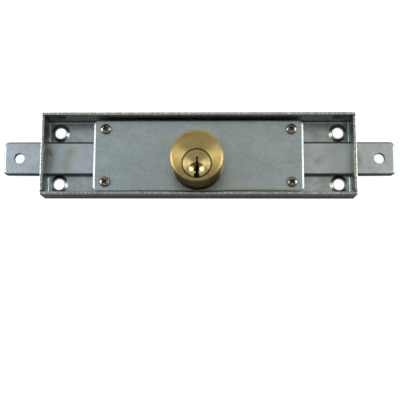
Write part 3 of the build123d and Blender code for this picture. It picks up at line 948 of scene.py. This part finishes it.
@dataclass
class Cover:
    """The cover plate and the four screws that hold it."""

    bench: Bench
    edge_width: float = 0.15
    long_edge_drop: float = 0.12
    rolled_drops: Range = (0.1, 0.7)
    corner_radius: float = 2.5
    head_radius: float = 2.65
    head_height: float = 2.0
    head_foot: tuple[float, float] = (0.15, 0.12)
    dome_start: float = 0.45
    dome_steps: int = 10
    shank_radius: float = 1.45
    head_steps: int = 48
    recess_length: float = 4.0
    recess_width: float = 1.15
    recess_depth: float = 1.3
    recess_taper: Point = (0.45, 0.7, 1.0)
    # The recess faces that get painted shade lie this far under the dome and this far short of the cross's
    # ends.
    recess_shade_depth: float = 0.05
    recess_shade_end: float = 0.2
    turns: tuple[float, ...] = (20.0, 52.0, 38.0, 45.0)

    def build(self) -> None:
        """Make the plate and its screws."""
        shape = self.bench.copy_shape("cover_plate")
        self.flatten_long_edges(shape)
        self.bench.soften(shape, self.edge_width, segments=3, shortest=0.5)
        self.bench.make("cover_sheet", shape, Body.ROOT, "cover_plate")
        for number, turn in enumerate(self.turns, start=1):
            self.build_screw(number, turn)

    def flatten_long_edges(self, shape: Shape) -> None:
        """Raise the rolled edge along the plate's long sides, where the sheet was cut and hardly rolled.

        Args:
            shape: The plate's shape, in millimetres.
        """
        low, high = box_of("cover_plate")
        least_drop, most_drop = self.rolled_drops
        for vert in shape.verts:
            side = min(vert.co.y - low.y, high.y - vert.co.y)
            drop = high.z - vert.co.z
            if side < self.corner_radius and least_drop < drop < most_drop:
                rolled = min(1.0, side / self.corner_radius)
                vert.co.z = high.z - self.long_edge_drop - rolled * (drop - self.long_edge_drop)

    def dome_height(self, share: float) -> float:
        """Give the height over a screw head's seat where a share of its bulge is reached."""
        return self.head_height * (self.dome_start + (1.0 - self.dome_start) * share)

    def build_screw(self, number: int, turn: float) -> None:
        """Make one pan head screw.

        Args:
            number: Number of its CAD node.
            turn: Angle at which its cross recess stands, in degrees.
        """
        node = f"cover_screw_{number}"
        low, high = box_of(node)
        middle = (low + high) / 2
        top = high.z
        seat = top - self.head_height
        inset, lip = self.head_foot
        outline = [(0.0, low.z - seat), (self.shank_radius, low.z - seat), (self.shank_radius, 0.0),
                   (self.head_radius - inset, 0.0), (self.head_radius, lip)]
        for step in range(self.dome_steps + 1):
            angle = math.radians(90.0 * step / self.dome_steps)
            outline.append((self.head_radius * math.cos(angle), self.dome_height(math.sin(angle))))
        blank = turned_solid(outline, (middle.x, middle.y, seat), self.head_steps)
        shape = carve(blank, self.recess(middle, top, turn))
        self.mark_recess_shade(shape, middle, seat)
        self.bench.make(f"pan_screw_{number}", shape, Body.ROOT, node)

    def mark_recess_shade(self, shape: Shape, middle: Vector, seat: float) -> None:
        """Mark the faces of the recess, which get painted shade.

        Args:
            shape: The carved screw.
            middle: Middle of the screw.
            seat: Height of the underside of its head.
        """
        layer = shape.faces.layers.float.new(HOLLOW_SHADE_LAYER)
        for face in shape.faces:
            centre = face.calc_center_median()
            radius = math.hypot(centre.x - middle.x, centre.y - middle.y)
            bulge = math.sqrt(max(0.0, 1.0 - (radius / self.head_radius) ** 2))
            skin = seat + self.dome_height(bulge)
            inside = seat < centre.z < skin - self.recess_shade_depth
            if inside and radius < self.recess_length / 2 - self.recess_shade_end:
                face[layer] = 1.0

    def recess(self, middle: Vector, top: float, turn: float) -> list[Shape]:
        """Make the tapered blades that press a cross recess.

        Args:
            middle: Middle of the screw.
            top: Height of the top of its head.
            turn: Angle of the cross, in degrees.

        Returns:
            Two closed wedges.
        """
        size = (self.recess_length, self.recess_width, 2 * self.recess_depth)
        blades = []
        for quarter in (0.0, 90.0):
            blade = bmesh.new()
            bmesh.ops.create_cube(blade, size=1.0)
            bmesh.ops.scale(blade, vec=size, verts=blade.verts)
            floor = [vert for vert in blade.verts if vert.co.z < 0]
            bmesh.ops.scale(blade, vec=self.recess_taper, verts=floor)
            spin = Matrix.Rotation(math.radians(turn + quarter), 3, "Z")
            bmesh.ops.rotate(blade, cent=(0, 0, 0), matrix=spin, verts=blade.verts)
            bmesh.ops.translate(blade, vec=(middle.x, middle.y, top), verts=blade.verts)
            blades.append(blade)
        return blades


@dataclass
class LockCylinder:
    """The brass housing and its turning plug."""

    bench: Bench
    edge_width: float = 0.20

    def build(self) -> None:
        """Make the housing and the plug."""
        for name, body, node in (("brass_housing", Body.ROOT, "cylinder_body"),
                                 ("brass_plug", Body.PLUG, "plug")):
            shape = self.bench.copy_shape(node)
            self.bench.soften(shape, self.edge_width)
            self.bench.make(name, shape, body, node)


@dataclass
class Bolts:
    """The two flat bolts, with their blanked edges rounded."""

    bench: Bench
    edge_width: float = 0.28

    def build(self) -> None:
        """Make both bolts."""
        for body in (Body.LEFT_BOLT, Body.RIGHT_BOLT):
            shape = self.bench.copy_shape(body.value)
            self.bench.soften(shape, self.edge_width, segments=3, shortest=0.5)
            self.bench.make(f"{body.value}_bar", shape, body, body.value)


@dataclass(frozen=True)
class Panel:
    """A soft light panel that faces the lock: its middle and its size in millimetres, its power in watts."""

    name: str
    place: Point
    size: tuple[float, float]
    power: float

    def hang(self) -> None:
        """Hang the panel."""
        lamp = bpy.data.lights.new(self.name, "AREA")
        lamp.shape = "RECTANGLE"
        lamp.size, lamp.size_y = (side * MM for side in self.size)
        lamp.energy = self.power
        holder = bpy.data.objects.new(self.name, lamp)
        holder.location = Vector(self.place) * MM
        holder.rotation_euler = (-Vector(self.place)).to_track_quat("-Z", "Y").to_euler()
        bpy.context.scene.collection.objects.link(holder)


@dataclass
class Studio:
    """Floor, lights and camera, with lengths in millimetres and the camera's tilt in radians."""

    floor_size: float = 4000.0
    floor_drop: float = 0.05
    floor_colour: Colour = (0.55, 0.55, 0.55)
    floor_glow: float = 0.85
    floor_roughness: float = 0.9
    # Painted shadow: near the lock, the floor seen in reflections is darker and glows less.
    mirrored_share: float = 0.15
    shadow_half: tuple[float, float] = (80.0, 21.25)
    shadow_weights: tuple[float, float] = (3.0, 1.0)
    shadow_reach: float = 70.0
    shadow_glow: float = 0.04
    horizon: float = 0.34
    lean: float = 0.24
    zenith: float = 0.64
    zenith_range: Range = (0.35, 0.95)
    backdrop_range: Range = (0.26, 0.16)
    backdrop_glow: float = 1.0
    panels: tuple[Panel, ...] = (
        Panel("left_panel", (-620, 40, 340), (380, 430), 2.9),
        Panel("right_panel", (620, 40, 340), (380, 430), 2.7))
    focal_pixels: float = 811.25
    image_pixels: float = 400.0
    sensor_width: float = 36.0
    clip_range: Range = (10.0, 10000.0)
    tilt: Point = (-0.16550, -0.02218, -0.00450)
    shift: Point = (-0.671, -21.314, 424.958)

    def build(self) -> None:
        """Set out the whole studio."""
        self.lay_floor()
        self.light_world()
        for panel in self.panels:
            panel.hang()
        self.stand_camera()

    def lay_floor(self) -> None:
        """Lay a pale floor that glows towards the camera, and in reflections outside a painted shadow round
        the lock.
        """
        shape = bmesh.new()
        bmesh.ops.create_grid(shape, x_segments=1, y_segments=1, size=self.floor_size / 2 * MM)
        bmesh.ops.translate(shape, vec=(0, 0, -self.floor_drop * MM), verts=shape.verts)
        mesh = bpy.data.meshes.new("floor")
        shape.to_mesh(mesh)
        shape.free()
        mesh.materials.append(self.floor_material())
        floor = bpy.data.objects.new("floor", mesh)
        bpy.context.scene.collection.objects.link(floor)

    def floor_material(self) -> bpy.types.Material:
        """Make the floor's material.

        Returns:
            The finished material.
        """
        sheet = NodeSheet("pale_floor")
        sheet.shader.inputs["Roughness"].default_value = self.floor_roughness
        sheet.shader.inputs["Specular IOR Level"].default_value = 0.0
        sheet.shader.inputs["Emission Color"].default_value = (*WHITE, 1.0)
        mirrored = sheet.ray(Ray.MIRRORED, Ray.PASSED)
        # Painted shadow: reflected rays see a darker, dimmer floor near the lock.
        clear = self.clear_of_lock(sheet)
        dimmed = sheet.math("MULTIPLY", mirrored, sheet.math("SUBTRACT", 1.0, clear))
        dark = tinted(self.floor_colour, (self.mirrored_share,) * 3)
        sheet.link(sheet.blend(dimmed, self.floor_colour, dark), sheet.shader.inputs["Base Color"])
        seen = sheet.math("MAXIMUM", sheet.ray(Ray.SEEN), sheet.math("MULTIPLY", mirrored, clear))
        sheet.link(sheet.math("MULTIPLY", seen, self.floor_glow), sheet.shader.inputs["Emission Strength"])
        return sheet.material

    def clear_of_lock(self, sheet: NodeSheet) -> Socket:
        """Give 1 far from the case and less in a painted shadow at its foot.

        Args:
            sheet: The floor's nodes.

        Returns:
            The value's socket.
        """
        place = sheet.place()
        squares = []
        for axis, half, weight in zip((Axis.X, Axis.Y), self.shadow_half, self.shadow_weights):
            outside = sheet.math("SUBTRACT", sheet.math("ABSOLUTE", sheet.along(place, axis)), half)
            gap = sheet.math("MULTIPLY", sheet.math("MAXIMUM", outside, 0.0), weight)
            squares.append(sheet.math("MULTIPLY", gap, gap))
        nearest = sheet.math("SQRT", sheet.math("ADD", *squares))
        return sheet.spread(nearest, (0.0, self.shadow_reach), (self.shadow_glow, 1.0))

    def light_world(self) -> None:
        """Light the surroundings, brighter at the back and overhead, with a white backdrop low down."""
        world = bpy.data.worlds.new("studio_world")
        world.use_nodes = True
        board = NodeBoard(world.node_tree)
        direction = board.coords.outputs["Generated"]
        across, up = board.along(direction, Axis.Y), board.along(direction, Axis.Z)
        low = board.spread(across, (-1.0, 1.0), (self.horizon - self.lean, self.horizon + self.lean))
        high = board.spread(up, self.zenith_range, UNIT, way="SMOOTHSTEP")
        sky = board.between(high, low, self.zenith)
        seen = board.ray(Ray.SEEN, Ray.MIRRORED, Ray.PASSED)
        backdrop = board.math("MULTIPLY", seen, board.spread(up, self.backdrop_range, UNIT))
        background = world.node_tree.nodes["Background"]
        background.inputs["Color"].default_value = (*WHITE, 1.0)
        board.link(board.between(backdrop, sky, self.backdrop_glow), background.inputs["Strength"])
        bpy.context.scene.world = world

    def stand_camera(self) -> None:
        """Stand the camera where the photograph was taken from."""
        turns = [Matrix.Rotation(angle, 3, axis) for angle, axis in zip(self.tilt, "XYZ")]
        to_camera = turns[0] @ turns[1] @ turns[2]
        lens = bpy.data.cameras.new("camera")
        lens.sensor_width = self.sensor_width
        lens.lens = self.focal_pixels * self.sensor_width / self.image_pixels
        lens.clip_start, lens.clip_end = (distance * MM for distance in self.clip_range)
        camera = bpy.data.objects.new("camera", lens)
        across, down, away = self.shift
        place = to_camera.transposed() @ (Vector((-across, down, away)) * MM)
        camera.matrix_world = Matrix.Translation(place) @ to_camera.transposed().to_4x4()
        bpy.context.scene.collection.objects.link(camera)
        bpy.context.scene.camera = camera


def zinc_finishes() -> tuple[ZincFinish, ...]:
    """Give the zinc-plated finishes: the case's, the cover plate's and the bolts'.

    Returns:
        The three finishes.
    """
    rust = (0.075, 0.050, 0.025)
    passivated = (0.30, 0.34, 0.20)
    worn_depth = 0.1
    case = ZincFinish(
        "zinc_case", tone=(0.43, 0.465, 0.455), contrast=0.26, roughness=(0.26, 0.38), front_shade=0.74,
        worn_above=box_of("case_tray")[1].z - worn_depth,
        stains_and_shade=(
            StainAndShadePatch((-78.4, 2.3, 6.0), (1.6, 2.2, 2.6), rust, 0.85),
            StainAndShadePatch((-78.0, -2.5, 5.5), (2.2, 6.0, 4.0), (0.20, 0.17, 0.11), 0.5),
            # Painted shade on the floor and lower wall along the back, where the back wall's shadow falls.
            StainAndShadePatch((0.0, 21.0, 1.5), (300.0, 9.0, 8.0), (0.20, 0.22, 0.235), 0.6, 0.9),
            # Painted shade over the inner face of the left end wall.
            StainAndShadePatch((-79.2, 0.0, 9.0), (1.3, 26.0, 12.0), (0.14, 0.15, 0.125), 0.9, 0.9),
            StainAndShadePatch((78.0, -4.0, 6.0), (3.2, 16.0, 9.0), (0.20, 0.35, 0.33), 0.50),
            # Painted shade on the back wall's inside and the floor in front of it, in the left and right
            # bays.
            StainAndShadePatch((-62.0, 20.0, 12.0), (19.0, 3.0, 12.0), (0.125, 0.122, 0.11), 0.80, 0.8),
            StainAndShadePatch((62.0, 20.0, 12.0), (19.0, 3.0, 12.0), (0.15, 0.14, 0.12), 0.50, 0.8),
            # Painted shade in the bends between floor and end walls at the back, the right one with a teal
            # tint.
            StainAndShadePatch((-77.2, 13.0, 1.5), (3.0, 9.0, 3.5), (0.12, 0.13, 0.12), 0.80, 0.7),
            StainAndShadePatch((77.2, 13.0, 1.5), (3.4, 9.0, 3.5), (0.10, 0.15, 0.15), 0.70, 0.7),
            # Painted shade towards the bottom of the front wall, where it meets the floor.
            StainAndShadePatch((0.0, -21.0, 0.0), (300.0, 2.5, 9.5), (0.13, 0.14, 0.14), 0.65, 0.9),
        ))
    plate = ZincFinish(
        "zinc_plate", tone=(0.385, 0.435, 0.43), contrast=0.08, tint=0.28, front_shade=0.85,
        stains_and_shade=(
            # Painted shadow on the plate round the foot of the brass housing, most of it below the housing.
            StainAndShadePatch((0.3, -9.5, 9.3), (16.0, 12.5, 2.0), (0.13, 0.135, 0.125), 0.60, 0.40),
            StainAndShadePatch((27.0, -18.2, 9.3), (34.0, 1.0, 2.0), (0.23, 0.23, 0.11), 0.75, 0.6),
            # Painted shade along the plate's lower edge, where the gap to the case lies.
            StainAndShadePatch((2.0, -18.4, 9.3), (60.0, 0.6, 2.0), (0.12, 0.12, 0.08), 0.60, 0.6),
        ))
    bolt = ZincFinish(
        "zinc_bolt", tone=(0.475, 0.515, 0.53), contrast=0.15, side_shade=0.5, front_shade=0.30,
        edge_shade=0.62,
        stains_and_shade=(
            StainAndShadePatch((-77.7, 3.4, 4.7), (1.0, 2.6, 2.0), rust, 0.65),
            StainAndShadePatch((-77.0, 1.6, 4.7), (0.9, 1.2, 2.0), rust, 0.9),
            StainAndShadePatch((-77.2, -0.5, 4.7), (3.0, 8.0, 2.0), (0.29, 0.26, 0.18), 0.55),
            StainAndShadePatch((-66.5, 3.0, 4.7), (4.5, 5.0, 2.0), passivated, 0.60, 0.8),
            StainAndShadePatch((-68.0, -2.5, 4.7), (3.5, 4.5, 2.0), passivated, 0.45, 0.8),
            StainAndShadePatch((82.5, -2.0, 4.7), (2.9, 6.5, 2.0), passivated, 0.80, 0.7),
            StainAndShadePatch((61.5, -2.0, 4.7), (4.0, 3.4, 2.0), passivated, 0.55, 0.8),
        ))
    return case, plate, bolt


def brass_finishes() -> tuple[BrassFinish, ...]:
    """Give the brass finishes: the housing's, the plug's and the pins'.

    Returns:
        The three finishes.
    """
    housing_middle = middle_of("cylinder_body")
    plug_middle = middle_of("plug")
    dish_shift = 3.0
    dish = (plug_middle[0], plug_middle[1] - dish_shift, box_of("plug")[1].z)
    housing = BrassFinish(
        "brass_housing", centre=housing_middle, bore=plug_middle, groove_shade_radii=(7.55, 7.25),
        tone=(0.54, 0.425, 0.165), anisotropy=0.92, side_shade=0.50, front_shade=0.25)
    plug = BrassFinish(
        "brass_plug", centre=plug_middle, bore=plug_middle, groove_shade_radii=(6.6, 6.85),
        tone=(0.71, 0.585, 0.27), front_shade=0.30, front_range=(-0.14, -0.44), roughness=(0.53, 0.59),
        anisotropy=0.98, dish=dish)
    pin = BrassFinish(
        "brass_pin", centre=plug_middle, hollow_shade_strength=0.0, anisotropy=0.0, side_shade=0.8, front_shade=0.8)
    return housing, plug, pin


def steel_finishes() -> tuple[SteelFinish, ...]:
    """Give the steel finishes: the screws', the other fasteners', the springs' and the pinion's.

    Returns:
        The four finishes.
    """
    screw = SteelFinish(
        "screw_steel", tone=(0.30, 0.28, 0.235), dark=(0.13, 0.115, 0.09), film=(0.34, 0.28, 0.17),
        film_amount=0.45, roughness=(0.14, 0.26), side_shade=0.35)
    fastener = SteelFinish("fastener_steel")
    spring = SteelFinish("spring_steel", tone=(0.36, 0.36, 0.36))
    pinion = SteelFinish("pinion_steel", tone=(0.28, 0.28, 0.27), roughness=(0.4, 0.55))
    return screw, fastener, spring, pinion


def main() -> None:
    """Build the lock's looks, the studio and the camera."""
    logging.basicConfig(level=logging.INFO, format="%(name)s: %(message)s")
    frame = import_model()
    scene = bpy.context.scene
    scene.view_settings.view_transform = "Standard"
    bench = Bench(frame, FinishSet(zinc_finishes() + brass_finishes() + steel_finishes()))
    Studio().build()
    for node in frame["nodes"]:
        bench.dress(node)
    for assembly in (Case(bench), Cover(bench), LockCylinder(bench), Bolts(bench)):
        assembly.build()


if __name__ == "__main__":
    main()
